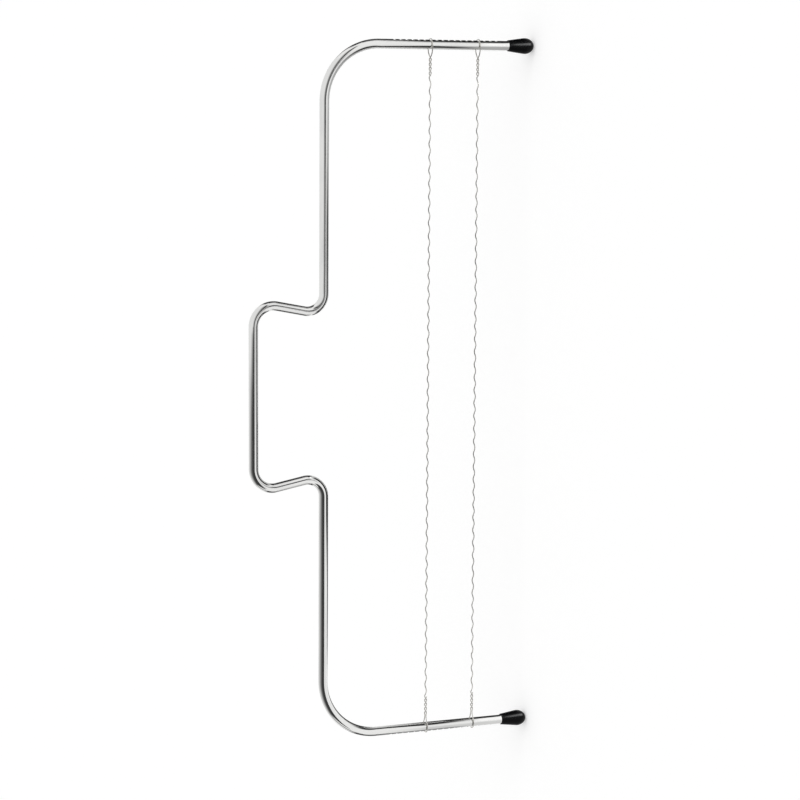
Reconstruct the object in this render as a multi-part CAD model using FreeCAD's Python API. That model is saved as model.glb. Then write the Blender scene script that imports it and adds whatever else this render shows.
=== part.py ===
import FreeCAD, Part
import math
import os

from FreeCAD import Vector

# Cake leveler: a bow bent from one round steel rod, with a cap on each foot and two serrated
# cutting wires that hook into notches on its legs. Millimetres. The bow lies in the XZ plane,
# Z is up, the feet stand on Z = 0, and the origin is midway between them.

# Bow. Bend radii are on the centre line of the rod.
rod_diameter = 5.0
leg_spacing = 365.0            # between the axes of the two legs
shoulder_height = 118.0        # from the floor to the centre line of the shoulders
shoulder_bend_radius = 30.0    # leg to shoulder
step_bend_radius = 9.0         # shoulder to step
step_straight = 15.45          # straight run of a step between its two bends
step_lean = math.radians(11)   # each step leans outwards on its way up
handle_bend_radius = 10.7      # step to handle
handle_length = 100.1          # outside, across the two handle bends

# Foot caps
cap_bore_depth = 10.5          # how far the rod goes into the cap
cap_floor = 4.0                # plastic under the end of the rod
cap_lip = 0.45                 # plastic round the rod at the mouth
cap_wall = 1.7                 # plastic round the rod at the widest part
cap_nose = 5.0                 # half the length of the egg that rounds the end
cap_rest_diameter = 2.5        # small flat that the cap stands on
cap_bore_clearance = 0.05      # all round the rod

# Notches, on the outside of each leg
notch_pitch = 3.4
lowest_notch_height = 21.6
bare_leg_above_notches = 7.0   # straight leg left plain below the shoulder bend
notch_depth = 0.65
notch_side_play = 0.4          # on each side of the wire

# Cutting wires
strand_diameter = 0.6
loop_clearance = 0.2           # between a loop and its leg
loop_throat = 4.1              # from the round of a loop to its first twist
twist_gap = 0.44               # between the two twisted strands
twist_lay = math.radians(35)   # slope of the twisted strands
twist_turns = 2
wave_pitch = 6.9               # length of one wave of the serration
wave_height = 0.72             # across the serration, on the centre line
lower_wire_notch = 4           # counted from the lowest notch
upper_wire_notch = 12

# Sizes that follow
rod_radius = rod_diameter / 2
leg_offset = leg_spacing / 2
strand_radius = strand_diameter / 2
loop_radius = rod_radius + loop_clearance + strand_radius
twist_radius = (strand_diameter + twist_gap) / 2
cap_length = cap_floor + cap_bore_depth
notch_width = strand_diameter + 2 * notch_side_play
straight_leg_top = shoulder_height - shoulder_bend_radius
notched_length = straight_leg_top - bare_leg_above_notches - lowest_notch_height
notch_count = int(notched_length / notch_pitch) + 1

LEFT = -1
RIGHT = 1
QUARTER_TURN = math.pi / 2
SAMPLE_STEP = 0.25             # between the points on which a wire's gap to itself is measured


def tangent_arc(start, corner, end):
    """Arc from start to end whose end tangents meet at corner."""
    middle = (start + end) * 0.5
    rise = corner - middle
    half_chord = (end - start).Length / 2
    bend = math.atan2(rise.Length, half_chord)
    crown = middle + rise * (half_chord * math.tan(bend / 2) / rise.Length)
    return Part.Arc(start, crown, end).toShape()


def rounded_path(corners, radii):
    """Straight runs through the corners, each corner rounded by its radius."""
    edges = []
    run_start = corners[0]
    for before, corner, after, radius in zip(corners, corners[1:], corners[2:], radii):
        way_in = (corner - before).normalize()
        way_out = (after - corner).normalize()
        trim = radius * math.tan(way_in.getAngle(way_out) / 2)
        arc_start = corner - way_in * trim
        arc_end = corner + way_out * trim
        edges.append(Part.LineSegment(run_start, arc_start).toShape())
        edges.append(tangent_arc(arc_start, corner, arc_end))
        run_start = arc_end
    edges.append(Part.LineSegment(run_start, corners[-1]).toShape())
    return edges


def biarc(start, start_way, end, end_way):
    """Two arcs that join smoothly, from start along start_way to end along end_way."""
    reach = end - start
    ways = start_way + end_way
    along = reach.dot(ways)
    span = reach.dot(reach)
    arm = span / (along + math.sqrt(along ** 2 + (4 - ways.dot(ways)) * span))
    first_corner = start + start_way * arm
    second_corner = end - end_way * arm
    join = (first_corner + second_corner) * 0.5
    return [tangent_arc(start, first_corner, join), tangent_arc(join, second_corner, end)]


def round_bar(edges, radius):
    """One unbroken round bar along joined edges."""
    first = edges[0]
    start = first.valueAt(first.FirstParameter)
    way = first.tangentAt(first.FirstParameter)
    section = Part.Wire([Part.makeCircle(radius, start, way)])
    return Part.Wire(edges).makePipeShell([section], True, False)


def report_volume(name, bar, edges, radius):
    """Print a bar's volume beside its section times its length."""
    length = sum(edge.Length for edge in edges)
    print(f"{name}: volume {bar.Volume:.2f}, section x length {math.pi * radius ** 2 * length:.2f}")


def bow_corners():
    """Corners of the bow's centre line from the left foot to the right, and their bend radii."""
    trim_per_radius = math.tan((math.pi / 2 + step_lean) / 2)
    step_run = (handle_bend_radius + step_bend_radius) * trim_per_radius + step_straight
    handle_height = shoulder_height + step_run * math.cos(step_lean)
    handle_bend_x = handle_length / 2 - rod_radius - handle_bend_radius
    handle_x = handle_bend_x + handle_bend_radius * trim_per_radius
    step_x = handle_x - step_run * math.sin(step_lean)
    right = [
        Vector(handle_x, 0, handle_height),
        Vector(step_x, 0, shoulder_height),
        Vector(leg_offset, 0, shoulder_height),
        Vector(leg_offset, 0, cap_floor),
    ]
    left = [Vector(-corner.x, 0, corner.z) for corner in reversed(right)]
    right_radii = [handle_bend_radius, step_bend_radius, shoulder_bend_radius]
    return left + right, right_radii[::-1] + right_radii


def notch_height(number):
    """Height of a notch, counted from 1 at the lowest."""
    return lowest_notch_height + (number - 1) * notch_pitch


def notch_cutters(side):
    """Round-bottomed cutters across the outside of one leg."""
    radius = (notch_width ** 2 / 4 + notch_depth ** 2) / (2 * notch_depth)
    x = side * (leg_offset + rod_radius - notch_depth + radius)
    cutters = []
    for number in range(1, notch_count + 1):
        base = Vector(x, -rod_diameter, notch_height(number))
        cutters.append(Part.makeCylinder(radius, 2 * rod_diameter, base, Vector(0, 1, 0)))
    return cutters


def bow_frame():
    """The bent rod with its notched legs."""
    corners, radii = bow_corners()
    edges = rounded_path(corners, radii)
    rod = round_bar(edges, rod_radius)
    report_volume("bow before notching", rod, edges, rod_radius)
    return rod.cut(notch_cutters(LEFT) + notch_cutters(RIGHT))


def foot_cap(side):
    """Tapered cap with an egg-shaped end, turned about the axis of its leg.

    The taper runs from the mouth to where it touches the egg. That place is found with the egg
    squashed to a ball.
    """
    widest_radius = rod_radius + cap_wall
    mouth_radius = rod_radius + cap_lip
    bore_radius = rod_radius + cap_bore_clearance
    rest_radius = cap_rest_diameter / 2
    rest_angle = -math.acos(rest_radius / widest_radius)
    widest_height = -cap_nose * math.sin(rest_angle)
    squashed_rise = (cap_length - widest_height) * widest_radius / cap_nose
    mouth_bearing = math.atan2(squashed_rise, mouth_radius)
    taper_angle = mouth_bearing - math.acos(widest_radius / math.hypot(squashed_rise, mouth_radius))

    def on_egg(angle):
        return Vector(widest_radius * math.cos(angle), 0, widest_height + cap_nose * math.sin(angle))

    egg = Part.Ellipse(on_egg(QUARTER_TURN), on_egg(0), Vector(0, 0, widest_height))
    nose = Part.ArcOfEllipse(egg, QUARTER_TURN - taper_angle, QUARTER_TURN - rest_angle)
    outline = [
        Part.LineSegment(Vector(0, 0, 0), Vector(rest_radius, 0, 0)).toShape(),
        nose.toShape(),
    ]
    inside = [
        on_egg(taper_angle),
        Vector(mouth_radius, 0, cap_length),
        Vector(bore_radius, 0, cap_length),
        Vector(bore_radius, 0, cap_floor),
        Vector(0, 0, cap_floor),
        Vector(0, 0, 0),
    ]
    outline += [Part.LineSegment(a, b).toShape() for a, b in zip(inside, inside[1:])]
    profile = Part.Face(Part.Wire(outline))
    cap = profile.revolve(Vector(0, 0, 0), Vector(0, 0, 1), 360)
    cap.translate(Vector(side * leg_offset, 0, 0))
    return cap


def wire_end_nodes(side, start_angle):
    """Points and directions of a wire's end, from its cut tail round the leg to the open span.

    They are worked out along the way in from the leg, across it and up, and then turned half
    round for the right leg. Both strands of the twist are one helix, half a turn apart.
    """
    turn_length = 2 * math.pi * twist_radius / math.tan(twist_lay)
    throat = loop_radius + loop_throat
    steps = range(4 * twist_turns + 1)

    def place(inwards, across, up):
        return Vector(side * (leg_offset - inwards), -side * across, up)

    def heading(inwards, across, up):
        return Vector(-side * inwards, -side * across, up).normalize()

    def strand(step, hand):
        angle = start_angle + step * QUARTER_TURN
        cosine = hand * math.cos(angle)
        sine = hand * math.sin(angle)
        slope = math.tan(twist_lay)
        point = place(throat + step * turn_length / 4, twist_radius * cosine, twist_radius * sine)
        return point, heading(1, -slope * sine, slope * cosine)

    tail = []
    for step in reversed(steps):
        point, way = strand(step, -1)
        tail.append((point, way * -1.0))
    loop = [
        (place(0, -loop_radius, 0), heading(-1, 0, 0)),
        (place(-loop_radius, 0, 0), heading(0, 1, 0)),
        (place(0, loop_radius, 0), heading(1, 0, 0)),
    ]
    main = [strand(step, 1) for step in steps]
    return tail + loop + main


def wave_nodes(start_x, end_x, start_angle):
    """Points and directions of the serrated span, a shallow helix in quarter turns."""
    span = end_x - start_x
    quarters = 4 * round(span / wave_pitch) + 1
    radius = wave_height / 2
    slope = radius * QUARTER_TURN * quarters / span
    nodes = []
    for step in range(1, quarters):
        angle = start_angle + step * QUARTER_TURN
        point = Vector(start_x + span * step / quarters, radius * math.cos(angle), radius * math.sin(angle))
        way = Vector(1, -slope * math.sin(angle), slope * math.cos(angle)).normalize()
        nodes.append((point, way))
    return nodes


def report_gap(edges):
    """Print a wire's least gap to itself, measured on points along it."""
    points = []
    for edge in edges:
        points += edge.discretize(max(2, math.ceil(edge.Length / SAMPLE_STEP) + 1))[:-1]
    skip = math.ceil(math.pi * strand_diameter / SAMPLE_STEP) * 2
    nearest = min(
        point.distanceToPoint(other)
        for index, point in enumerate(points)
        for other in points[index + skip:]
    )
    print(f"cutting wire: least gap to itself {nearest - strand_diameter:.3f}")


def joined_arcs(nodes):
    """Smooth edges through points that each have a direction."""
    edges = []
    for (start, start_way), (end, end_way) in zip(nodes, nodes[1:]):
        edges += biarc(start, start_way, end, end_way)
    return edges


def cutting_wire():
    """One wire at floor level, in three lengths that meet face to face.

    Each end is looped round its leg and twisted on itself, and the span between them is serrated.
    """
    start_angle = QUARTER_TURN / 2
    left = wire_end_nodes(LEFT, start_angle)
    right = [(point, way * -1.0) for point, way in reversed(wire_end_nodes(RIGHT, start_angle))]
    waves = wave_nodes(left[-1][0].x, right[0][0].x, start_angle)
    lengths = {
        "left_loop": joined_arcs(left),
        "span": joined_arcs(left[-1:] + waves + right[:1]),
        "right_loop": joined_arcs(right),
    }
    report_gap([edge for edges in lengths.values() for edge in edges])
    bars = {}
    for name, edges in lengths.items():
        bars[name] = round_bar(edges, strand_radius)
        report_volume(f"wire {name}", bars[name], edges, strand_radius)
    return bars


def main():
    """Build every piece and write it to its own file."""
    pieces = {
        "bow_frame": bow_frame(),
        "left_foot_cap": foot_cap(LEFT),
        "right_foot_cap": foot_cap(RIGHT),
    }
    for name, bar in cutting_wire().items():
        pieces[f"lower_wire_{name}"] = bar.translated(Vector(0, 0, notch_height(lower_wire_notch)))
        pieces[f"upper_wire_{name}"] = bar.translated(Vector(0, 0, notch_height(upper_wire_notch)))
    os.makedirs("parts", exist_ok=True)
    for name, shape in pieces.items():
        shape.exportStep(f"parts/{name}.step")


main()
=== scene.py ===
"""Looks of a cake leveler: a bright bent rod, two black foot caps and two serrated cutting wires.

Everything is in metres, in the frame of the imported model: +X runs from the left foot to the right,
+Z is up, the bow lies in the plane Y = 0 and its feet stand on Z = 0.
"""

import logging
import math
from dataclasses import dataclass
from enum import Enum

import bpy
import numpy as np
from bpy.types import Material, Node, World
from mathutils import Matrix, Vector


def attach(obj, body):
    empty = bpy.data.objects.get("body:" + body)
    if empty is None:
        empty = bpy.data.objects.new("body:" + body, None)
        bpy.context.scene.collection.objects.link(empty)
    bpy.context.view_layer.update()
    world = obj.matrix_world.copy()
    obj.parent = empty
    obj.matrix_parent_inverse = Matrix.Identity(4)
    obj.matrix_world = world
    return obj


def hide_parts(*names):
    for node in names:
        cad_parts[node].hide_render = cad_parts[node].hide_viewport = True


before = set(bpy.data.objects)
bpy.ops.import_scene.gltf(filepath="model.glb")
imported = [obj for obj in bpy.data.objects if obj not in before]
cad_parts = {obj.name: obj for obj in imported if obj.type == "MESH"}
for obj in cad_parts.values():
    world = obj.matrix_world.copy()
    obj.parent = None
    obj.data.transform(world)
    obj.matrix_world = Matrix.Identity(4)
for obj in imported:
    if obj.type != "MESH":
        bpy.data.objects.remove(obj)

Array = np.ndarray
Faces = list[list[int]]
Piece = bpy.types.Object
Socket = bpy.types.NodeSocket
Span = tuple[float, float]
Triple = tuple[float, float, float]

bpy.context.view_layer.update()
MM = 0.001
LEG_SPACING = 365.0 * MM
LEG_OFFSET = LEG_SPACING / 2.0
WHITE = (1.0, 1.0, 1.0, 1.0)
WHOLE: Span = (0.0, 1.0)
NOISE_RANGE: Span = (0.3, 0.7)
log = logging.getLogger("cake_leveler")


class Side(Enum):
    """The two ends of the tool, by the sign of X."""

    LEFT = -1
    RIGHT = 1


class Body(Enum):
    """The bodies that pieces ride on."""

    BOW = "bow"
    LOWER_WIRE = "lower_wire"
    UPPER_WIRE = "upper_wire"


class Slot(Enum):
    """The finishes of the record."""

    BRIGHT_ROD = "bright_rod"
    BLACK_CAP = "black_cap"
    CUTTING_WIRE = "cutting_wire"


class Sum(Enum):
    """Ways to put numbers together in a material."""

    ADD = "ADD"
    MULTIPLY = "MULTIPLY"
    LARGEST = "MAXIMUM"


# The notch that each wire hangs in, counted from the lowest.
WIRE_NOTCHES = {Body.LOWER_WIRE: 4, Body.UPPER_WIRE: 12}


def vectors(*parts: Array | float) -> Array:
    """Coordinates put side by side, each first spread to the shape that they share."""
    return np.stack(np.broadcast_arrays(*parts), axis=-1)


def unit(directions: Array) -> Array:
    """Vectors of a whole array, each divided by its own length."""
    return directions / np.linalg.norm(directions, axis=-1, keepdims=True)


def smooth_step(position: Array) -> Array:
    """Ease from 0 to 1 with level ends: 3p squared less 2p cubed, p held between 0 and 1."""
    held = np.clip(position, 0.0, 1.0)
    return held * held * (3.0 - 2.0 * held)


def border_fade(share: Array, fade: float) -> Array:
    """Ease from 0 at the shares 0 and 1 to 1 between them, over a given share at each end."""
    return smooth_step(np.minimum(share, 1.0 - share) / fade)


def chord(distance: Array, bend: Array, heading: Array) -> Array:
    """Straight step from the start of a stretch of constant bend to a place along it.

    After the distance d with the bend k, from the heading h, the step is c * (cos m, sin m), where
    m = h + k d / 2 and c = d * sin(k d / 2) / (k d / 2).

    Args:
        distance: How far along the stretch.
        bend: Radians per metre, positive to the left.
        heading: Direction at the start of the stretch.

    Returns:
        The step in the plane of the bow, as X and Z.
    """
    middle = heading + bend * distance / 2.0
    reach = distance * np.sinc(bend * distance / (2.0 * np.pi))
    return vectors(reach * np.cos(middle), reach * np.sin(middle))


def arc(centre: Span, radii: Span, turn: Span, count: int) -> Array:
    """Part of an oval: centre + (radius across * cos a, radius up * sin a), angle a evenly spaced."""
    angle = np.linspace(*turn, count)
    return np.array(centre) + np.array(radii) * vectors(np.cos(angle), np.sin(angle))


def straight(start: Array, end: Array, count: int) -> Array:
    """Evenly spaced points from just after a start to an end: start * (1 - s) + end * s."""
    share = np.linspace(0.0, 1.0, count + 1)[1:, None]
    return start * (1.0 - share) + end * share


def new_object(name: str, points: Array, faces: Faces) -> Piece:
    """Put a mesh into the scene, at the origin and unturned.

    Args:
        name: Name of the object and of its mesh.
        points: Its points.
        faces: Corner numbers of each face.

    Returns:
        The new object.
    """
    mesh = bpy.data.meshes.new(name)
    mesh.from_pydata(points.tolist(), [], faces)
    piece = bpy.data.objects.new(name, mesh)
    bpy.context.scene.collection.objects.link(piece)
    return piece


def put_attribute(piece: Piece, name: str, values: Array) -> None:
    """Give each point of a piece a number or a vector that materials can read.

    Args:
        piece: Object with the mesh.
        name: Name of the attribute.
        values: A number, or a row of three numbers, for each point.
    """
    kind, field = ("FLOAT", "value") if values.ndim == 1 else ("FLOAT_VECTOR", "vector")
    attribute = piece.data.attributes.new(name, kind, "POINT")
    attribute.data.foreach_set(field, values.astype(np.float32).ravel())


@dataclass
class Tube:
    """A closed round skin: rings of points about a path, with a pole at each end.

    A ring's point at the angle a lies at centre + radius * (cos a * across + sin a * beside), where
    beside is the path's direction crossed with across. Faces so ordered point outwards.
    """

    centres: Array
    across: Array
    beside: Array
    radii: Array
    travelled: Array

    @property
    def sides(self) -> int:
        """Points in one ring."""
        return self.radii.shape[1]

    @property
    def angles(self) -> Array:
        """Angle of each point of a ring, from the direction across."""
        return np.linspace(0.0, 2.0 * np.pi, self.sides, endpoint=False)

    def points(self) -> Array:
        """Every point of every ring, then the two poles.

        Returns:
            An array of rings times sides plus two rows.
        """
        turn = self.angles[None, :, None]
        spoke = np.cos(turn) * self.across[:, None, :] + np.sin(turn) * self.beside[:, None, :]
        rings = self.centres[:, None, :] + self.radii[:, :, None] * spoke
        return np.vstack([rings.reshape(-1, 3), self.centres[:1], self.centres[-1:]])

    def faces(self) -> Faces:
        """Four-sided faces between neighbouring rings, and a fan of triangles at each pole.

        Returns:
            Corner numbers of each face, outwards by the right-hand rule.
        """
        rings = len(self.centres)
        corner = np.arange(rings * self.sides).reshape(rings, self.sides)
        onward = np.roll(corner, -1, axis=1)
        walls = vectors(corner[:-1], onward[:-1], onward[1:], corner[1:]).reshape(-1, 4)
        start = vectors(corner.size, onward[0], corner[0])
        end = vectors(corner.size + 1, corner[-1], onward[-1])
        return walls.tolist() + start.tolist() + end.tolist()

    def unrolled(self) -> Array:
        """Each point's place on the same tube pulled straight along X, so that grain follows it.

        Returns:
            Distance along, and the two offsets radius * cos a and radius * sin a, for each point.
        """
        offsets = (self.radii * np.cos(self.angles), self.radii * np.sin(self.angles))
        rings = vectors(self.travelled[:, None], *offsets)
        poles = vectors(self.travelled[[0, -1]], 0.0, 0.0)
        return np.vstack([rings.reshape(-1, 3), poles])

    def to_object(self, name: str) -> Piece:
        """Make the skin a smooth mesh object at the origin, with its unrolled places as an attribute.

        Args:
            name: Name of the piece.

        Returns:
            The new object, linked into the scene.
        """
        piece = new_object(name, self.points(), self.faces())
        piece.data.shade_smooth()
        put_attribute(piece, "unrolled", self.unrolled())
        return piece


@dataclass(frozen=True)
class Grain:
    """A noise: waves per metre along each axis, octaves of finer waves, and how strong those are."""

    waves: Triple
    octaves: float = 2.0
    roughness: float = 0.55


class Nodes:
    """The node tree of a material or of the world, with short calls to add and join nodes."""

    # A Mix node keeps its two colours and its blended colour at these places.
    FIRST_COLOUR, SECOND_COLOUR, BLENDED_COLOUR = 6, 7, 2

    def __init__(self, owner: Material | World) -> None:
        """Start with an empty tree.

        Args:
            owner: The new material or world that the tree belongs to.
        """
        owner.use_nodes = True
        self.tree = owner.node_tree
        self.tree.nodes.clear()
        self.output = "World" if isinstance(owner, World) else "Material"

    def add(self, kind: str, **values: object) -> Node:
        """Add a node and set its properties, or its inputs where it has no such property.

        Args:
            kind: Blender's type name of the node.
            **values: Property names, or input names with spaces written as underscores.

        Returns:
            The new node.
        """
        node = self.tree.nodes.new(kind)
        for key, value in values.items():
            if hasattr(node, key):
                setattr(node, key, value)
            else:
                node.inputs[key.replace("_", " ")].default_value = value
        return node

    def join(self, output: Socket, target: Socket) -> None:
        """Join an output to an input."""
        self.tree.links.new(output, target)

    def attribute(self, name: str, output: str = "Fac") -> Socket:
        """An attribute of the mesh, as a number unless another output is named."""
        return self.add("ShaderNodeAttribute", attribute_name=name).outputs[output]

    def noise(self, place: Socket, grain: Grain) -> Socket:
        """Noise on a stretched place.

        Args:
            place: Vector output that says where each point is.
            grain: How fine the noise is.

        Returns:
            The noise, around 0.5.
        """
        stretch = self.add("ShaderNodeMapping", vector_type="POINT", Scale=grain.waves)
        self.join(place, stretch.inputs["Vector"])
        noise = self.add("ShaderNodeTexNoise", Scale=1.0, Detail=grain.octaves, Roughness=grain.roughness)
        self.join(stretch.outputs["Vector"], noise.inputs["Vector"])
        return noise.outputs["Fac"]

    def spread(self, value: Socket, results: Span, over: Span = NOISE_RANGE) -> Socket:
        """Map a number evenly from one range to another and hold it there.

        Args:
            value: Number output to map.
            results: Result at the start of the range and below, and at its end and above.
            over: Range of the number in which the result changes.

        Returns:
            The mapped number.
        """
        node = self.add("ShaderNodeMapRange", clamp=True)
        self.join(value, node.inputs["Value"])
        for name, number in zip(("From Min", "From Max", "To Min", "To Max"), (*over, *results)):
            node.inputs[name].default_value = number
        return node.outputs["Result"]

    def blend(self, share: Socket, first: Socket | Triple, second: Triple) -> Socket:
        """Blend two colours.

        Args:
            share: Number output, 0 for the first colour and 1 for the second.
            first: Red, green and blue, or an output with a colour.
            second: Red, green and blue.

        Returns:
            The blended colour.
        """
        node = self.add("ShaderNodeMix", data_type="RGBA")
        self.join(share, node.inputs["Factor"])
        if isinstance(first, Socket):
            self.join(first, node.inputs[self.FIRST_COLOUR])
        else:
            node.inputs[self.FIRST_COLOUR].default_value = (*first, 1.0)
        node.inputs[self.SECOND_COLOUR].default_value = (*second, 1.0)
        return node.outputs[self.BLENDED_COLOUR]

    def combine(self, operation: Sum, first: Socket, *others: Socket) -> Socket:
        """Put numbers together one after the other.

        Args:
            operation: How two numbers become one.
            first: Number output to start with.
            *others: Number outputs that follow.

        Returns:
            The resulting number.
        """
        for other in others:
            node = self.add("ShaderNodeMath", operation=operation.value)
            self.join(first, node.inputs[0])
            self.join(other, node.inputs[1])
            first = node.outputs["Value"]
        return first

    def bump(self, height: Socket, depth: float, strength: float) -> Socket:
        """Normals tilted by a height.

        Args:
            height: Number output, 0 to 1.
            depth: Metres between heights 0 and 1.
            strength: Share of the tilt that is kept.

        Returns:
            The tilted normal.
        """
        node = self.add("ShaderNodeBump", Distance=depth, Strength=strength)
        self.join(height, node.inputs["Height"])
        return node.outputs["Normal"]

    def seen_directly(self) -> Socket:
        """Tell rays from the camera, from mirror-like metal and through glass from the rest.

        Returns:
            1 for such a ray and 0 for any other.
        """
        path = self.add("ShaderNodeLightPath").outputs
        kinds = ("Is Camera Ray", "Is Glossy Ray", "Is Transmission Ray")
        return self.combine(Sum.LARGEST, *(path[kind] for kind in kinds))

    def mixed(self, share: Socket, first: Node, second: Node) -> Node:
        """Mix two shaders.

        Args:
            share: Number output, 0 for the first shader and 1 for the second.
            first: A shader.
            second: Another shader.

        Returns:
            The mixed shader.
        """
        node = self.add("ShaderNodeMixShader")
        for output, target in zip((share, first.outputs[0], second.outputs[0]), node.inputs):
            self.join(output, target)
        return node

    def surface(self, shader: Node) -> None:
        """Make a shader the surface of the material, or the light of the world."""
        output = self.add(f"ShaderNodeOutput{self.output}")
        self.join(shader.outputs[0], output.inputs["Surface"])

    def principled(self, colour: Socket, roughness: Socket, normal: Socket, **values: float) -> None:
        """Make a principled shader the surface of the material.

        Args:
            colour: Its colour.
            roughness: Its roughness.
            normal: Its normal.
            **values: Other inputs, with spaces written as underscores.
        """
        shader = self.add("ShaderNodeBsdfPrincipled", **values)
        self.join(colour, shader.inputs["Base Color"])
        self.join(roughness, shader.inputs["Roughness"])
        self.join(normal, shader.inputs["Normal"])
        self.surface(shader)


@dataclass(frozen=True)
class BrightRodFinish:
    """Bright plated steel: drawing lines along the rod, faint smudges and duller cut notches."""

    plating: Triple = (0.80, 0.80, 0.79)
    smudged: Triple = (0.73, 0.73, 0.725)
    notch_floor: Triple = (0.50, 0.50, 0.49)
    gloss_roughness: float = 0.045
    smudge_roughness: float = 0.11
    notch_roughness: float = 0.24
    line_roughness: Span = (-0.012, 0.022)
    lines: Grain = Grain((45.0, 5200.0, 5200.0))
    smudges: Grain = Grain((38.0, 260.0, 260.0), 3.0)
    smudge_range: Span = (0.46, 0.70)
    notch_range: Span = (0.1, 0.9)
    line_depth: float = 0.02 * MM
    line_tilt: float = 0.10

    def material(self) -> Material:
        """Make the node material.

        Returns:
            A metal whose lines follow the unrolled places, with the notches picked out by their attribute.
        """
        material = bpy.data.materials.new(Slot.BRIGHT_ROD.value)
        nodes = Nodes(material)
        place = nodes.attribute("unrolled", "Vector")
        cut = nodes.attribute("cut")
        lines = nodes.noise(place, self.lines)
        smudges = nodes.spread(nodes.noise(place, self.smudges), WHOLE, self.smudge_range)
        clean = nodes.spread(smudges, (self.gloss_roughness, self.smudge_roughness), WHOLE)
        drawn = nodes.spread(lines, self.line_roughness)
        dull = nodes.spread(cut, (0.0, self.notch_roughness - self.gloss_roughness), self.notch_range)
        worn = nodes.blend(smudges, self.plating, self.smudged)
        nodes.principled(
            nodes.blend(nodes.spread(cut, WHOLE, self.notch_range), worn, self.notch_floor),
            nodes.combine(Sum.ADD, clean, drawn, dull),
            nodes.bump(lines, self.line_depth, self.line_tilt),
            Metallic=1.0,
        )
        return material


@dataclass(frozen=True)
class BlackCapFinish:
    """Soft black plastic: a fine moulded grain, slow changes of sheen and a foot scuffed by the table."""

    plastic: Triple = (0.0016, 0.0016, 0.0019)
    faded: Triple = (0.003, 0.003, 0.0034)
    scuffed: Triple = (0.030, 0.030, 0.031)
    shine: float = 0.08
    sheen: Span = (0.21, 0.28)
    scuff_roughness: float = 0.25
    patches: Grain = Grain((240.0, 240.0, 160.0), 3.0)
    scratches: Grain = Grain((900.0, 5200.0, 900.0))
    scratch_range: Span = (0.5, 0.68)
    scuff_heights: Span = (0.2 * MM, 1.6 * MM)
    grain_size: float = 0.22 * MM
    grain_depth: float = 0.012 * MM
    grain_tilt: float = 0.25

    def material(self) -> Material:
        """Make the node material.

        Returns:
            A dark plastic with grain on Object coordinates and scuffs that fade out over scuff_heights.
        """
        material = bpy.data.materials.new(Slot.BLACK_CAP.value)
        nodes = Nodes(material)
        place = nodes.add("ShaderNodeTexCoord").outputs["Object"]
        grain = nodes.noise(place, Grain((1.0 / self.grain_size,) * 3))
        patches = nodes.noise(place, self.patches)
        scratches = nodes.spread(nodes.noise(place, self.scratches), WHOLE, self.scratch_range)
        height = nodes.add("ShaderNodeSeparateXYZ")
        nodes.join(place, height.inputs["Vector"])
        low = nodes.spread(height.outputs["Z"], (1.0, 0.0), self.scuff_heights)
        scuff = nodes.combine(Sum.MULTIPLY, low, scratches)
        bare = nodes.blend(nodes.spread(patches, WHOLE), self.plastic, self.faded)
        rubbed = nodes.spread(scuff, (0.0, self.scuff_roughness), WHOLE)
        nodes.principled(
            nodes.blend(scuff, bare, self.scuffed),
            nodes.combine(Sum.ADD, nodes.spread(patches, self.sheen), rubbed),
            nodes.bump(grain, self.grain_depth, self.grain_tilt),
            Specular_IOR_Level=self.shine,
        )
        return material


@dataclass(frozen=True)
class CuttingWireFinish:
    """Drawn stainless wire: die lines along it and a slightly warm, uneven tint."""

    steel: Triple = (0.68, 0.67, 0.64)
    tinted: Triple = (0.58, 0.56, 0.52)
    line_roughness: Span = (0.15, 0.25)
    tint_roughness: float = 0.08
    lines: Grain = Grain((120.0, 9000.0, 9000.0))
    tints: Grain = Grain((160.0, 500.0, 500.0), 3.0)
    tint_range: Span = (0.42, 0.66)
    line_depth: float = 0.01 * MM
    line_tilt: float = 0.2

    def material(self) -> Material:
        """Make the node material.

        Returns:
            A metal whose lines and tint follow the unrolled places.
        """
        material = bpy.data.materials.new(Slot.CUTTING_WIRE.value)
        nodes = Nodes(material)
        place = nodes.attribute("unrolled", "Vector")
        lines = nodes.noise(place, self.lines)
        tints = nodes.spread(nodes.noise(place, self.tints), WHOLE, self.tint_range)
        drawn = nodes.spread(lines, self.line_roughness)
        nodes.principled(
            nodes.blend(tints, self.steel, self.tinted),
            nodes.combine(Sum.ADD, drawn, nodes.spread(tints, (0.0, self.tint_roughness), WHOLE)),
            nodes.bump(lines, self.line_depth, self.line_tilt),
            Metallic=1.0,
        )
        return material


def dress_piece(piece: Piece, material: Material, body: Body, slot: Slot, *stands_for: str) -> None:
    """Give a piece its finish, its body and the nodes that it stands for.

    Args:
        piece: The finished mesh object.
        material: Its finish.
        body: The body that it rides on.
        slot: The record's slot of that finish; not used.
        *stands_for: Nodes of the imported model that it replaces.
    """
    piece.data.materials.append(material)
    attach(piece, body.value)
    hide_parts(*stands_for)
    log.info("%s: %d points, rides on %s", piece.name, len(piece.data.vertices), body.value)


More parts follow.
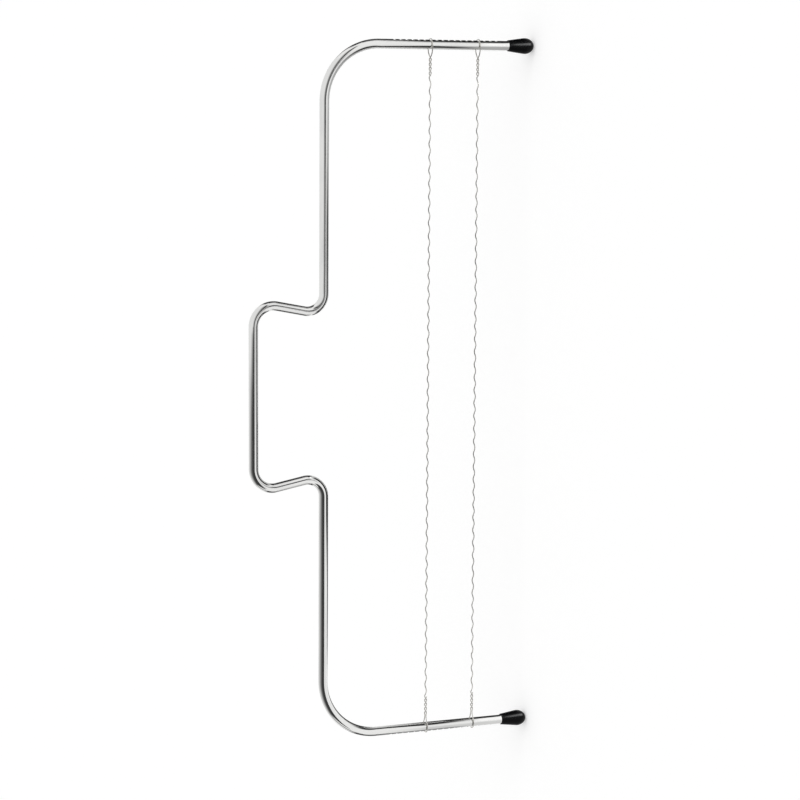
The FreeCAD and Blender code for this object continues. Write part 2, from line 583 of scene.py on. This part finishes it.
@dataclass
class BowFrame:
    """The bow: one round rod bent into two notched legs, two shoulders and a stepped handle."""

    rod_diameter: float = 5.0 * MM
    leg_spacing: float = LEG_SPACING
    shoulder_height: float = 118.0 * MM
    shoulder_bend_radius: float = 30.0 * MM
    step_bend_radius: float = 9.0 * MM
    step_straight: float = 15.45 * MM
    step_lean: float = math.radians(11)
    handle_bend_radius: float = 10.7 * MM
    handle_length: float = 100.1 * MM
    rod_end_height: float = 4.0 * MM
    notch_pitch: float = 3.4 * MM
    notch_count: int = 18
    lowest_notch_height: float = 21.6 * MM
    notch_depth: float = 0.65 * MM
    notch_width: float = 1.4 * MM
    notch_edge_round: float = 0.07 * MM
    notch_facing_cosine: float = 0.2
    dulled_depth_share: float = 0.25
    sides: int = 64
    straight_ring_gap: float = 4.0 * MM
    bend_ring_gap: float = 0.7 * MM
    notch_rings: int = 19
    notch_ring_reach: float = 0.62
    ring_decimals: int = 7

    @property
    def rod_radius(self) -> float:
        """Half the rod's thickness."""
        return self.rod_diameter / 2.0

    def runs(self) -> tuple[Array, Array]:
        """Straight runs and bends of the centre line from the left foot to the right.

        Returns:
            The length of each run, and its bend in radians per metre, positive to the left.
        """
        turn = math.pi / 2.0 + self.step_lean
        trim = math.tan(turn / 2.0)
        step_run = (self.handle_bend_radius + self.step_bend_radius) * trim + self.step_straight
        half_handle = self.handle_length / 2.0 - self.rod_radius - self.handle_bend_radius
        step_x = half_handle + self.handle_bend_radius * trim - step_run * math.sin(self.step_lean)
        shoulder = self.leg_spacing / 2.0 - self.shoulder_bend_radius - step_x - self.step_bend_radius * trim
        half = [
            (self.shoulder_height - self.shoulder_bend_radius - self.rod_end_height, 0.0),
            (self.shoulder_bend_radius * math.pi / 2.0, -1.0 / self.shoulder_bend_radius),
            (shoulder, 0.0),
            (self.step_bend_radius * turn, 1.0 / self.step_bend_radius),
            (self.step_straight, 0.0),
            (self.handle_bend_radius * turn, -1.0 / self.handle_bend_radius),
        ]
        lengths, bends = np.array(half + [(2.0 * half_handle, 0.0)] + half[::-1]).T
        return lengths, bends

    def notch_height(self, number: int) -> float:
        """Height of a notch, counted from 1 for the lowest."""
        return self.lowest_notch_height + self.notch_pitch * (number - 1)

    def notch_places(self) -> Array:
        """Distance along the rod of every notch, up the left leg and then down the right one."""
        up = self.lowest_notch_height - self.rod_end_height + self.notch_pitch * np.arange(self.notch_count)
        return np.concatenate([up, self.runs()[0].sum() - up[::-1]])

    def stations(self) -> Array:
        """Distances along the rod that get a ring, close together in bends and across notches.

        Returns:
            The distances in rising order, each once.
        """
        lengths, bends = self.runs()
        ends = np.concatenate([[0.0], np.cumsum(lengths)])
        gaps = np.where(bends == 0.0, self.straight_ring_gap, self.bend_ring_gap)
        counts = np.ceil(lengths / gaps).astype(int)
        runs = [np.linspace(a, b, n, endpoint=False) for a, b, n in zip(ends[:-1], ends[1:], counts)]
        reach = self.notch_ring_reach
        across = np.linspace(-reach, reach, self.notch_rings) * self.notch_width
        notches = (self.notch_places()[:, None] + across[None, :]).ravel()
        return np.unique(np.round(np.concatenate([*runs, ends[-1:], notches]), self.ring_decimals))

    def centre_line(self, travelled: Array) -> tuple[Array, Array]:
        """Points of the centre line, and the direction outwards in the plane of the bow.

        The runs follow each other: each starts where the chord of the one before it ends, with the
        heading that the bends before it have made, and a point lies a chord further on in its own run.

        Args:
            travelled: Distances along the rod.

        Returns:
            The points, and the heading turned a quarter to the left, which is outwards on both legs.
        """
        lengths, bends = self.runs()
        starts = np.concatenate([[0.0], np.cumsum(lengths)[:-1]])
        headings = math.pi / 2.0 + np.concatenate([[0.0], np.cumsum(lengths * bends)[:-1]])
        hops = np.cumsum(chord(lengths, bends, headings), axis=0)[:-1]
        corners = np.array([-self.leg_spacing / 2.0, self.rod_end_height]) + np.vstack([[0.0, 0.0], hops])
        run = np.clip(np.searchsorted(starts, travelled, side="right") - 1, 0, len(starts) - 1)
        gone = travelled - starts[run]
        flat = corners[run] + chord(gone, bends[run], headings[run])
        heading = headings[run] + bends[run] * gone
        return vectors(flat[:, 0], 0.0, flat[:, 1]), vectors(-np.sin(heading), 0.0, np.cos(heading))

    def skin_radii(self, travelled: Array) -> tuple[Array, Array]:
        """Distance of the skin from the centre line, with the notches cut in.

        A notch is a round groove straight across the outside of a leg. At a distance d from its middle
        its floor lies D = R - depth + g - sqrt(g g - d d) out from the centre line, g being the groove's
        own radius. A point at the angle a then lies at the smaller of R and D / cos a, with the corner
        between the two eased over notch_edge_round. Where cos a is small nothing is cut.

        Args:
            travelled: Distances along the rod.

        Returns:
            The radii, one row for each ring, and how dull the cut makes each point, from 0 to 1.
        """
        radius = self.rod_radius
        uncut = 4.0 * radius
        groove = (self.notch_width ** 2 / 4.0 + self.notch_depth ** 2) / (2.0 * self.notch_depth)
        off = np.abs(travelled[:, None] - self.notch_places()[None, :]).min(axis=1)
        floor = radius - self.notch_depth + groove - np.sqrt(np.maximum(groove ** 2 - off ** 2, 0.0))
        floor = np.where(off < groove, floor, uncut)
        cosine = np.cos(np.linspace(0.0, 2.0 * np.pi, self.sides, endpoint=False))
        facing = np.maximum(cosine, self.notch_facing_cosine)
        cut = np.where(cosine > self.notch_facing_cosine, floor[:, None] / facing, uncut)
        share = np.clip(0.5 + (cut - radius) / (2.0 * self.notch_edge_round), 0.0, 1.0)
        eased = cut * (1.0 - share) + radius * share - self.notch_edge_round * share * (1.0 - share)
        return eased, smooth_step((radius - eased) / (self.dulled_depth_share * self.notch_depth))

    def build(self) -> Piece:
        """Sweep the notched round section along the centre line.

        Returns:
            The bow's mesh object, with the attribute cut on its notches.
        """
        travelled = self.stations()
        centres, outwards = self.centre_line(travelled)
        radii, cut = self.skin_radii(travelled)
        forward = np.cross(outwards, [0.0, 1.0, 0.0])
        tube = Tube(centres, outwards, np.cross(forward, outwards), radii, travelled)
        bow = tube.to_object("bow")
        put_attribute(bow, "cut", np.append(cut.ravel(), [0.0, 0.0]))
        return bow

    def dress(self, bow: Piece) -> None:
        """Plate the rod and let it ride on the bow's body."""
        dress_piece(bow, BrightRodFinish().material(), Body.BOW, Slot.BRIGHT_ROD, "bow_frame")


@dataclass
class FootCap:
    """A tapered plastic cap with an egg-shaped end, pushed on the end of a leg."""

    side: Side
    length: float = 14.5 * MM
    floor_thickness: float = 4.0 * MM
    widest_radius: float = 4.2 * MM
    nose: float = 5.0 * MM
    mouth_radius: float = 2.95 * MM
    bore_radius: float = 2.55 * MM
    rest_radius: float = 1.25 * MM
    rest_inner_share: float = 0.3
    lip_round: float = 0.16 * MM
    sides: int = 96
    rest_points: int = 3
    egg_points: int = 40
    taper_points: int = 25
    lip_points: int = 7
    bore_points: int = 8

    @property
    def place(self) -> str:
        """Left or right, as names have it."""
        return self.side.name.lower()

    def profile(self) -> tuple[Array, Array]:
        """Half outline of the cap, from the middle of its foot up the outside and down the bore.

        The end is an egg: at the angle a it has the radius w cos a and the height c + n sin a, where w
        is the widest radius, n the nose and c such that the rest flat cuts it at the height 0. The taper
        is the tangent from the mouth, found with the egg squashed to a ball. The mouth's two edges are
        quarter rounds.

        Returns:
            Radii and heights of the outline's points, without the two on the axis.
        """
        rest_angle = -math.acos(self.rest_radius / self.widest_radius)
        widest_height = -self.nose * math.sin(rest_angle)
        rise = (self.length - widest_height) * self.widest_radius / self.nose
        bearing = math.atan2(rise, self.mouth_radius)
        taper_angle = bearing - math.acos(self.widest_radius / math.hypot(rise, self.mouth_radius))
        quarter, lip = math.pi / 2.0, self.lip_round
        top = self.length - lip
        rest = np.linspace(self.rest_inner_share, 1.0, self.rest_points + 1)[:-1] * self.rest_radius
        egg_radii, egg_turn = (self.widest_radius, self.nose), (rest_angle, taper_angle)
        egg = arc((0.0, widest_height), egg_radii, egg_turn, self.egg_points)
        bore_top = np.array([self.bore_radius, top])
        bore_floor = np.array([self.bore_radius, self.floor_thickness])
        outline = np.vstack([
            vectors(rest, 0.0),
            egg,
            straight(egg[-1], np.array([self.mouth_radius, top]), self.taper_points),
            arc((self.mouth_radius - lip, top), (lip, lip), (0.0, quarter), self.lip_points)[1:],
            arc((self.bore_radius + lip, top), (lip, lip), (quarter, math.pi), self.lip_points),
            straight(bore_top, bore_floor, self.bore_points),
            np.array([self.bore_radius / 2.0, self.floor_thickness]),
        ])
        return outline[:, 0], outline[:, 1]

    def build(self) -> Piece:
        """Turn the outline about the axis of the leg.

        Returns:
            The cap's mesh object.
        """
        radii, heights = self.profile()
        centres = vectors(self.side.value * LEG_OFFSET, 0.0, heights)
        across = np.tile([1.0, 0.0, 0.0], (len(radii), 1))
        beside = np.tile([0.0, 1.0, 0.0], (len(radii), 1))
        skin = np.repeat(radii[:, None], self.sides, axis=1)
        steps = np.hypot(np.diff(radii, prepend=0.0), np.diff(heights, prepend=0.0))
        return Tube(centres, across, beside, skin, np.cumsum(steps)).to_object(f"{self.place}_cap")

    def dress(self, cap: Piece, material: Material) -> None:
        """Make the cap black plastic that rides on the bow."""
        dress_piece(cap, material, Body.BOW, Slot.BLACK_CAP, f"{self.place}_foot_cap")


@dataclass
class CuttingWire:
    """A serrated wire, looped round a leg and twisted on itself at each end."""

    body: Body
    height: float
    strand_diameter: float = 0.6 * MM
    loop_radius: float = 3.0 * MM
    loop_throat: float = 4.1 * MM
    twist_radius: float = 0.52 * MM
    twist_lay: float = math.radians(35)
    twist_turns: int = 2
    wave_pitch: float = 6.9 * MM
    wave_height: float = 0.72 * MM
    start_angle: float = math.radians(45)
    ease_length: float = 2.2 * MM
    ring_gap: float = 0.2 * MM
    sides: int = 14
    loop_points: int = 121
    shoulder_points: int = 41
    twist_points: int = 161
    span_points: int = 6001

    @property
    def turn_length(self) -> float:
        """Length along the wire of one turn of the twist."""
        return 2.0 * math.pi * self.twist_radius / math.tan(self.twist_lay)

    @property
    def throat(self) -> float:
        """Distance from the leg's axis to the first crossing of the twist."""
        return self.loop_radius + self.loop_throat

    def strand(self, share: Array, hand: int) -> Array:
        """One of the two twisted strands: a helix about the line in from the leg.

        Args:
            share: Places from 0 at the throat to 1 at the end of the twist.
            hand: 1 for the strand that goes on to the span, -1 for the tail.

        Returns:
            Points in from the leg, across it and up.
        """
        angle = self.start_angle + share * self.twist_turns * 2.0 * math.pi
        inwards = self.throat + share * self.twist_turns * self.turn_length
        offset = hand * self.twist_radius
        return vectors(inwards, offset * np.cos(angle), offset * np.sin(angle))

    def shoulder(self, hand: int) -> Array:
        """The side of the loop between its round and the throat, a cubic that meets both smoothly.

        With p, q the two ends and u, v their directions times the reach, the point at the share t is
        (2t^3 - 3t^2 + 1) p + (t^3 - 2t^2 + t) u + (3t^2 - 2t^3) q + (t^3 - t^2) v.

        Args:
            hand: 1 for the side that goes on to the span, -1 for the tail's side.

        Returns:
            Points from the round of the loop to the throat.
        """
        share = np.linspace(0.0, 1.0, self.shoulder_points)[:, None]
        start = np.array([0.0, hand * self.loop_radius, 0.0])
        end = self.strand(np.zeros(1), hand)[0]
        slope = hand * math.tan(self.twist_lay)
        sine, cosine = math.sin(self.start_angle), math.cos(self.start_angle)
        leave = np.array([1.0, 0.0, 0.0]) * self.throat
        arrive = np.array([1.0, -slope * sine, slope * cosine]) * self.throat
        square, cube = share ** 2, share ** 3
        return (
            (2.0 * cube - 3.0 * square + 1.0) * start + (cube - 2.0 * square + share) * leave
            + (3.0 * square - 2.0 * cube) * end + (cube - square) * arrive
        )

    def looped_end(self) -> Array:
        """One end, from the cut tail back to the throat, round the leg and through the twist.

        Returns:
            Points in from the leg, across it and up.
        """
        share = np.linspace(0.0, 1.0, self.twist_points)
        turn = np.linspace(-math.pi / 2.0, math.pi / 2.0, self.loop_points)[1:-1]
        loop = self.loop_radius * vectors(-np.cos(turn), np.sin(turn), 0.0)
        return np.vstack([
            self.strand(share[::-1], -1),
            self.shoulder(-1)[::-1][1:],
            loop,
            self.shoulder(1),
            self.strand(share, 1)[1:],
        ])

    def span(self, start_x: float, end_x: float) -> Array:
        """The serrated span: a shallow helix whose size and pitch ease out of the twists.

        With e falling from 1 at a twist to 0 over ease_length, the helix has the radius w + (t - w) e
        and turns at the rate k + (T - k) e, where w and t are the radii of wave and twist, T is the
        twist's rate and k is the rate that brings both twists into step.

        Args:
            start_x: Where the left twist ends.
            end_x: Where the right twist ends.

        Returns:
            Points between the twists, at the height 0.
        """
        x = np.linspace(start_x, end_x, self.span_points)
        ease = 1.0 - smooth_step(np.minimum(x - start_x, end_x - x) / self.ease_length)
        step = x[1] - x[0]
        eased = (ease[1:] + ease[:-1]).sum() * step / 2.0
        waves = round((end_x - start_x) / self.wave_pitch)
        total = 2.0 * math.pi * waves + math.pi / 2.0
        twist_rate = 2.0 * math.pi / self.turn_length
        rate = (total - twist_rate * eased) / (end_x - start_x - eased)
        rates = rate + (twist_rate - rate) * ease
        turned = np.concatenate([[0.0], np.cumsum((rates[1:] + rates[:-1]) * step / 2.0)])
        angle = self.start_angle + turned
        radius = self.wave_height / 2.0 + (self.twist_radius - self.wave_height / 2.0) * ease
        return vectors(x, radius * np.cos(angle), radius * np.sin(angle))

    def path(self) -> tuple[Array, Array]:
        """The whole wire from tail to tail, evenly spaced.

        Returns:
            Points in the frame of the tool, and the distance travelled at each.
        """
        end = self.looped_end()
        left = vectors(end[:, 0] - LEG_OFFSET, end[:, 1], end[:, 2])
        right = vectors(LEG_OFFSET - end[:, 0], -end[:, 1], end[:, 2])[::-1]
        line = np.vstack([left, self.span(left[-1, 0], right[0, 0])[1:-1], right])
        gone = np.concatenate([[0.0], np.cumsum(np.linalg.norm(np.diff(line, axis=0), axis=1))])
        even = np.linspace(0.0, gone[-1], math.ceil(gone[-1] / self.ring_gap))
        points = vectors(*(np.interp(even, gone, column) for column in line.T))
        return points + np.array([0.0, 0.0, self.height]), even

    def build(self) -> Piece:
        """Sweep the round strand along the wire, each ring kept upright.

        Returns:
            The wire's mesh object.
        """
        points, travelled = self.path()
        forward = unit(np.gradient(points, axis=0))
        upright = np.array([0.0, 0.0, 1.0])
        across = unit(upright - (forward @ upright)[:, None] * forward)
        radii = np.full((len(points), self.sides), self.strand_diameter / 2.0)
        tube = Tube(points, across, np.cross(forward, across), radii, travelled)
        return tube.to_object(f"{self.body.value}_steel")

    def dress(self, wire: Piece, material: Material) -> None:
        """Make the wire steel that rides on its own body and stands for its three lengths."""
        lengths = [f"{self.body.value}_{part}" for part in ("left_loop", "span", "right_loop")]
        dress_piece(wire, material, self.body, Slot.CUTTING_WIRE, *lengths)


@dataclass(frozen=True)
class PaintedReflection:
    """A painted reflection: a glowing sheet that only shows in reflections, as a grid of points, how bright
    each is and how solid.
    """

    name: str
    points: Array
    tones: Array
    cover: Array

    def faces(self) -> Faces:
        """Four-sided faces between neighbouring points of the grid.

        Returns:
            Corner numbers of each face.
        """
        rows, columns = self.points.shape[:2]
        corner = np.arange(rows * columns).reshape(rows, columns)
        quads = vectors(corner[:-1, :-1], corner[1:, :-1], corner[1:, 1:], corner[:-1, 1:])
        return quads.reshape(-1, 4).tolist()


@dataclass(frozen=True)
class PaintedReflectionCanopy:
    """A painted reflection of the surroundings: a half barrel over the tool, seen only in reflections, dark
    in front and on the left, light overhead and behind.

    Its tone eases from dark to light between two angles up from the front, in degrees. Both are larger
    on the left, so that the dark reaches higher there.
    """

    reach: float = 1.9
    half_length: float = 3.0
    dark_tone: float = 0.05
    light_tone: float = 0.90
    right_angles: Span = (0.0, 45.0)
    left_angles: Span = (38.0, 153.0)
    left_from: float = -0.07
    left_over: float = 0.17
    rows: int = 91
    columns: int = 121

    def panel(self) -> PaintedReflection:
        """Lay the barrel out: at the angle e up from the front its point is (x, -r cos e, r sin e).

        Returns:
            The panel.
        """
        angle = np.linspace(0.0, 180.0, self.rows)[:, None]
        x = np.linspace(-self.half_length, self.half_length, self.columns)[None, :]
        left = smooth_step((self.left_from - x) / self.left_over)
        first, last = (a + (b - a) * left for a, b in zip(self.right_angles, self.left_angles))
        light = smooth_step((angle - first) / (last - first))
        turn = np.radians(angle)
        points = vectors(x, -self.reach * np.cos(turn), self.reach * np.sin(turn))
        # Painted reflection: dark surroundings in front and light overhead, seen only in the metal.
        tones = self.dark_tone + (self.light_tone - self.dark_tone) * light
        return PaintedReflection("painted_reflection_canopy", points, tones, np.ones(light.shape))


@dataclass(frozen=True)
class PaintedReflectionStrip:
    """A painted reflection: a straight strip over the floor along the bow, seen only in reflections, that
    fades away at its borders.

    It runs between two places in X and from its front to its back border in Y, and fades over two
    lengths, at the front and at the back.
    """

    name: str
    x: Span
    y: Span
    fade: Span
    tone: float
    height: float = 0.8 * MM
    end_fade: float = 0.2
    rows: int = 25
    columns: int = 81

    def panel(self) -> PaintedReflection:
        """Lay the strip out, with a cover that eases from 0 at every border to 1.

        Returns:
            The panel.
        """
        along = np.linspace(*self.x, self.rows)[:, None]
        depth = np.linspace(*self.y, self.columns)[None, :]
        front, back = (depth - self.y[0]) / self.fade[0], (self.y[1] - depth) / self.fade[1]
        ends = border_fade((along - self.x[0]) / (self.x[1] - self.x[0]), self.end_fade)
        cover = smooth_step(np.minimum(front, back)) * ends
        points = vectors(along, depth, self.height)
        return PaintedReflection(self.name, points, np.full(cover.shape, self.tone), cover)


@dataclass(frozen=True)
class PaintedReflectionPatch:
    """A painted reflection: a glowing patch about one upright rod, laid on the floor or standing as a wall,
    seen only in reflections, between two bearings and two distances from it.

    Bearings are in degrees from the direction of the camera, positive towards +X. An upright rod mirrors
    the patch as a stripe along its whole length, because it sees the surroundings on one bearing at each
    place across its width.
    """

    name: str
    rod_x: float
    bearings: Span
    reach: Span
    tone: float
    height: float = 0.5 * MM
    climb: float = 0.0
    bearing_fade: float = 0.25
    reach_fade: float = 0.2
    grid: int = 25

    def panel(self, camera: Vector) -> PaintedReflection:
        """Lay the patch out, fading away at its borders.

        At the share u across and v outwards the bearing runs evenly from the first to the second, the
        distance grows by a constant ratio, the height is height + climb * v * v, and the cover is the
        product of two that ease from 0 at both borders to 1, one in u and one in v.

        Args:
            camera: Place of the camera.

        Returns:
            The panel.
        """
        across = np.linspace(0.0, 1.0, self.grid)[:, None]
        outwards = np.linspace(0.0, 1.0, self.grid)[None, :]
        facing = math.atan2(camera.x - self.rod_x, -camera.y)
        first, second = (facing + math.radians(border) for border in self.bearings)
        bearing = first + (second - first) * across
        distance = self.reach[0] * (self.reach[1] / self.reach[0]) ** outwards
        x, y = self.rod_x + distance * np.sin(bearing), -distance * np.cos(bearing)
        points = vectors(x, y, self.height + self.climb * outwards ** 2)
        cover = border_fade(across, self.bearing_fade) * border_fade(outwards, self.reach_fade)
        return PaintedReflection(self.name, points, np.full(cover.shape, self.tone), cover)


@dataclass
class Studio:
    """Pale floor, white surroundings, soft light and the painted reflections: glowing panels, seen only in
    reflections, that give the metal its dark lines and the caps their highlights.
    """

    camera: Vector
    floor_half: float = 14.0
    floor_shade: float = 0.80
    floor_glow: float = 0.32
    dome_light: float = 0.64
    key_light: float = 0.9
    key_softness: float = math.radians(70)
    key_from: Triple = (0.55, -0.75, 1.05)
    step_x: float = 47.0 * MM

    def patches(self) -> list[PaintedReflectionPatch]:
        """The painted reflections about the rods, laid on the floor or standing as walls, that the legs, the
        caps, the steps and the handle's bends mirror.

        Returns:
            The patches, each with its name, rod, bearings, reach, tone, height and climb.
        """
        leg, step = LEG_OFFSET, self.step_x
        near, beside, over = (0.012, 0.25), (0.004, 0.020), (0.0022, 0.05)
        outer, wall = (0.40, 1.00), (2.20, 2.21)
        return [
            # Painted reflections: dark and grey patches give the metal its dark edge lines and grey stripes,
            # the glints at tone 18 are painted highlights on the caps, white covers hide those glints from
            # the legs, and the walls are dark or grey reflections.
            PaintedReflectionPatch("right_edge_dark", leg, (34.0, 226.0), near, 0.02, 0.45 * MM),
            PaintedReflectionPatch("left_edge_dark", -leg, (54.0, 160.0), near, 0.03),
            PaintedReflectionPatch("right_grey", leg, (-10.0, -150.0), near, 0.48),
            PaintedReflectionPatch("left_grey", -leg, (-10.0, -140.0), near, 0.78),
            PaintedReflectionPatch("right_glint", leg, (6.0, 36.0), beside, 18.0, 0.9 * MM, 11.0 * MM),
            PaintedReflectionPatch("left_glint", -leg, (13.0, 41.0), beside, 18.0, 0.9 * MM, 11.0 * MM),
            PaintedReflectionPatch("right_glint_cover", leg, (-16.0, 58.0), over, 1.2, 14.0 * MM),
            PaintedReflectionPatch("left_glint_cover", -leg, (-16.0, 68.0), over, 1.2, 14.0 * MM),
            PaintedReflectionPatch("right_step_edge", step, (66.0, 174.0), (0.12, 3.0), 0.02, 0.6 * MM),
            PaintedReflectionPatch("right_far_painted_reflection", step, (74.0, 176.0), wall, 0.02, -0.35, 1.0),
            PaintedReflectionPatch("right_step_line", step, (-13.0, 24.0), (0.24, 0.80), 0.04, 0.6 * MM),
            PaintedReflectionPatch("right_step_rim", step, (-80.0, -145.0), outer, 0.10, 0.7 * MM),
            PaintedReflectionPatch("left_step_edge", -step, (70.0, 150.0), outer, 0.10, 0.7 * MM),
            PaintedReflectionPatch("left_step_line", -step, (-14.0, 16.0), (0.20, 0.42), 0.50, 0.6 * MM),
            PaintedReflectionPatch("left_step_rim", -step, (-84.0, -140.0), (0.21, 0.42), 0.30, 0.6 * MM),
            PaintedReflectionPatch("left_rim_dark", -leg, (-80.0, -172.0), (0.45, 3.0), 0.04, 0.6 * MM),
            PaintedReflectionPatch("left_end", -step, (-84.0, -112.0), wall, 0.25, -0.15, 2.2),
        ]

    def panels(self) -> list[PaintedReflection]:
        """Every painted reflection: the canopy, the dark strips painted over the floor before and under the
        handle, and the patches about the rods.

        Returns:
            The panels.
        """
        painted_reflection_canopy = PaintedReflectionCanopy()
        # Dark strips painted into the reflection of the floor before the tool and under the handle, where
        # the floor itself renders white.
        far_painted_reflection = PaintedReflectionStrip("far_painted_reflection", (-1.1, 1.3), (-1.9, -0.60), (0.001, 0.70), painted_reflection_canopy.dark_tone)
        painted_reflection_under_handle = PaintedReflectionStrip("painted_reflection_under_handle", (-0.13, 0.13), (-0.135, 0.005), (0.03, 0.03), 0.02)
        about_rods = [patch.panel(self.camera) for patch in self.patches()]
        return [painted_reflection_canopy.panel(), far_painted_reflection.panel(), painted_reflection_under_handle.panel(), *about_rods]

    def sheet(self, name: str, points: Array, faces: Faces, material: Material) -> Piece:
        """A thin sheet of the studio: the floor, or a panel of painted reflection.

        Args:
            name: Name of the object.
            points: Its points.
            faces: Corner numbers of each face.
            material: Its surface.

        Returns:
            The staged object.
        """
        sheet = new_object(name, points, faces)
        sheet.data.materials.append(material)
        return sheet

    def lay_floor(self) -> None:
        """Lay a pale matt floor that looks white where it is lit and keeps the shadow."""
        material = bpy.data.materials.new("pale_floor")
        nodes = Nodes(material)
        matt = nodes.add("ShaderNodeBsdfDiffuse", Color=(self.floor_shade,) * 3 + (1.0,))
        glow = nodes.add("ShaderNodeEmission")
        strength = nodes.spread(nodes.seen_directly(), (0.0, self.floor_glow), WHOLE)
        nodes.join(strength, glow.inputs["Strength"])
        both = nodes.add("ShaderNodeAddShader")
        nodes.join(matt.outputs[0], both.inputs[0])
        nodes.join(glow.outputs[0], both.inputs[1])
        nodes.surface(both)
        corners = np.array([[-1.0, -1.0, 0.0], [1.0, -1.0, 0.0], [1.0, 1.0, 0.0], [-1.0, 1.0, 0.0]])
        self.sheet("floor", corners * self.floor_half, [[0, 1, 2, 3]], material)

    def set_panels(self) -> int:
        """Set up the painted reflections: panels, each glowing by its tones, and hide them from everything
        but reflections.

        Returns:
            How many there are.
        """
        # Painted reflection: an emission that glows by each point's tone and is seen only by glossy rays.
        material = bpy.data.materials.new("panel")
        nodes = Nodes(material)
        glow = nodes.add("ShaderNodeEmission")
        nodes.join(nodes.attribute("tone"), glow.inputs["Strength"])
        clear = nodes.add("ShaderNodeBsdfTransparent")
        nodes.surface(nodes.mixed(nodes.attribute("cover"), clear, glow))
        panels = self.panels()
        for panel in panels:
            sheet = self.sheet(panel.name, panel.points.reshape(-1, 3), panel.faces(), material)
            put_attribute(sheet, "tone", panel.tones.ravel())
            put_attribute(sheet, "cover", panel.cover.ravel())
            sheet.visible_camera = False
            sheet.visible_diffuse = False
            sheet.visible_shadow = False
            sheet.visible_transmission = False
        return len(panels)

    def light(self) -> None:
        """Set an even dome that looks white, and one broad soft key light."""
        world = bpy.data.worlds.new("white_studio")
        bpy.context.scene.world = world
        nodes = Nodes(world)
        dome = nodes.add("ShaderNodeBackground", Color=WHITE, Strength=self.dome_light)
        white = nodes.add("ShaderNodeBackground", Color=WHITE, Strength=1.0)
        nodes.surface(nodes.mixed(nodes.seen_directly(), dome, white))
        lamp = bpy.data.lights.new("key", "SUN")
        lamp.energy = self.key_light
        lamp.angle = self.key_softness
        key = bpy.data.objects.new("key", lamp)
        key.rotation_euler = Vector(self.key_from).to_track_quat("Z", "Y").to_euler()
        bpy.context.scene.collection.objects.link(key)

    def build(self) -> None:
        """Set up the whole studio."""
        self.lay_floor()
        panels = self.set_panels()
        self.light()
        bpy.context.scene.view_settings.view_transform = "Standard"
        log.info("studio: floor, %d panels, dome and key light", panels)


@dataclass
class PhotoCamera:
    """The camera of the photograph, which lies on its side beside the upright tool."""

    lens: float = 108.0
    sensor: float = 36.0
    elevation: float = math.radians(21.88)
    azimuth: float = math.radians(7.33)
    roll: float = math.radians(-92.40)
    distance: float = 1271.1 * MM
    target: Triple = (-4.12 * MM, 0.0, 74.93 * MM)
    clip_end: float = 100.0

    def build(self) -> bpy.types.Object:
        """Place the camera on its ray from the target, turned about that ray by the roll.

        Returns:
            The camera, made the scene's own.
        """
        away = Vector((
            math.sin(self.azimuth) * math.cos(self.elevation),
            -math.cos(self.azimuth) * math.cos(self.elevation),
            math.sin(self.elevation),
        ))
        level = (-away).cross(Vector((0.0, 0.0, 1.0))).normalized()
        rise = level.cross(-away)
        right = level * math.cos(self.roll) + rise * math.sin(self.roll)
        up = rise * math.cos(self.roll) - level * math.sin(self.roll)
        data = bpy.data.cameras.new("photo_camera")
        data.lens = self.lens
        data.sensor_width = self.sensor
        data.clip_end = self.clip_end
        camera = bpy.data.objects.new("photo_camera", data)
        place = Matrix((right, up, away)).transposed().to_4x4()
        place.translation = Vector(self.target) + away * self.distance
        camera.matrix_world = place
        bpy.context.scene.collection.objects.link(camera)
        bpy.context.scene.camera = camera
        log.info("camera: %.0f mm lens at %.3f m", self.lens, self.distance)
        return camera


def main() -> None:
    """Place the camera, build and dress every piece, then set up the studio."""
    logging.basicConfig(level=logging.INFO, format="%(message)s")
    camera = PhotoCamera().build()
    bow = BowFrame()
    bow.dress(bow.build())
    plastic = BlackCapFinish().material()
    for side in Side:
        cap = FootCap(side)
        cap.dress(cap.build(), plastic)
    steel = CuttingWireFinish().material()
    for body, notch in WIRE_NOTCHES.items():
        wire = CuttingWire(body, bow.notch_height(notch))
        wire.dress(wire.build(), steel)
    Studio(camera.matrix_world.translation).build()


if __name__ == "__main__":
    main()
